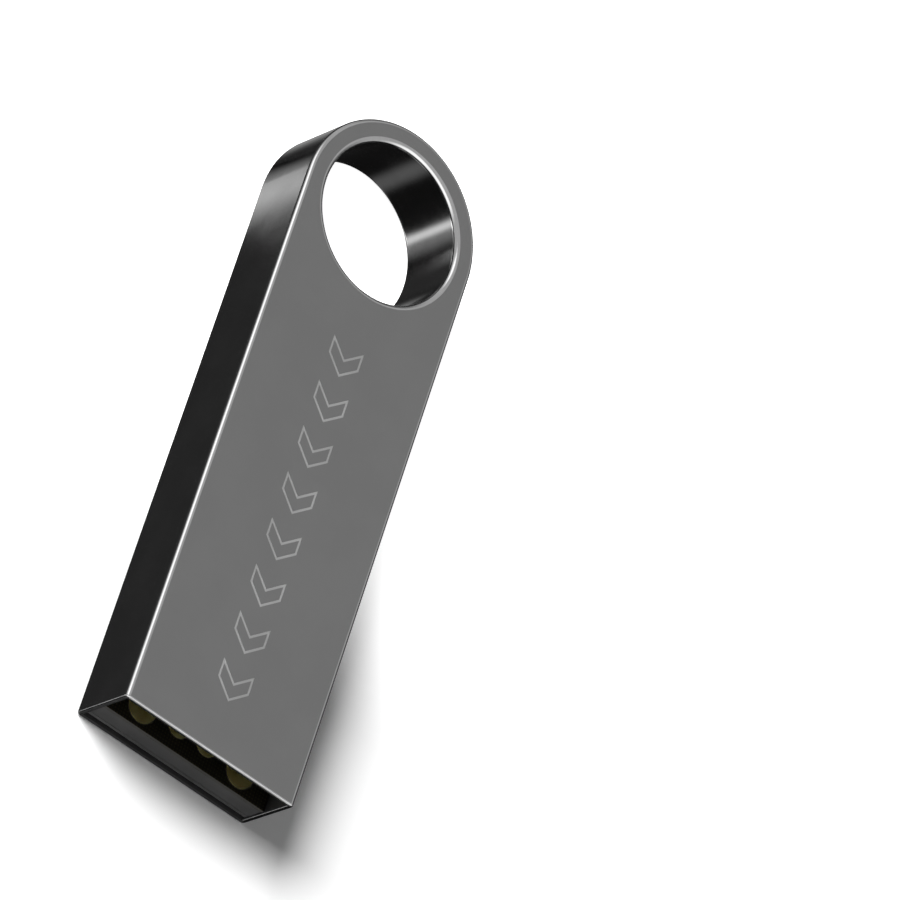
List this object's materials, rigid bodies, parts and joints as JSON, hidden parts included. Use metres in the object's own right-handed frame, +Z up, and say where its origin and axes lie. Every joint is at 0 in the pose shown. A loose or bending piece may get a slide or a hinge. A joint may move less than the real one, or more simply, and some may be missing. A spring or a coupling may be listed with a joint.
{
  "type": "usb flash drive",
  "caption": "One-piece metal USB flash drive with a full-round key-ring eye and a sealed chip module that slides into its plug end.",
  "frame": {"origin": "middle of the underside of the shell, on the surface it lies on", "axes": "+X from the plug mouth to the key ring, +Y the width, +Z up through the thickness to the marked face"},
  "size_m": [0.0405, 0.012, 0.0045],
  "materials": {
    "gunmetal": "satin dark nickel plating over zinc alloy, polished edges",
    "dark_plastic": "moulded matt black",
    "adhesive": "translucent glue film",
    "laminate": "sawn dark glass-resin edge",
    "solder_mask": "semi-gloss black lacquer over copper relief",
    "gold_plate": "hard gold plating",
    "copper": "copper",
    "silicon": "ground silicon",
    "gold_wire": "bright gold",
    "ceramic_body": "fired ceramic with tinned ends",
    "resistor_body": "glazed alumina with tinned ends",
    "moulding_resin": "matt black epoxy moulding compound"
  },
  "bodies": {
    "case": {"case_shell": "gunmetal", "carrier_tray": "dark_plastic", "adhesive_film": "adhesive"},
    "module": {"substrate_laminate": "laminate", "top_solder_mask": "solder_mask", "bottom_solder_mask": "solder_mask", "contact_vbus": "gold_plate", "contact_d_minus": "gold_plate", "contact_d_plus": "gold_plate", "contact_ground": "gold_plate", "test_pad_1": "gold_plate", "test_pad_2": "gold_plate", "signal_traces": "copper", "power_traces": "copper", "plated_vias": "copper", "memory_bond_fingers": "gold_plate", "controller_bond_fingers": "gold_plate", "passive_lands": "copper", "nand_die_lower": "silicon", "nand_die_upper": "silicon", "controller_die": "silicon", "die_attach_lower": "adhesive", "die_attach_upper": "adhesive", "die_attach_controller": "adhesive", "memory_bond_wires": "gold_wire", "controller_bond_wires": "gold_wire", "moulding_compound": "moulding_resin", "capacitor_1": "ceramic_body", "resistor_1": "resistor_body", "capacitor_2": "ceramic_body", "resistor_2": "resistor_body", "capacitor_3": "ceramic_body", "resistor_3": "resistor_body", "capacitor_4": "ceramic_body", "resistor_4": "resistor_body"}
  },
  "joints": [
    {"name": "module_slide", "type": "slide", "parent": "case", "child": "module", "axis": [-1, 0, 0], "range_m": [0, 0.0255]}
  ]
}
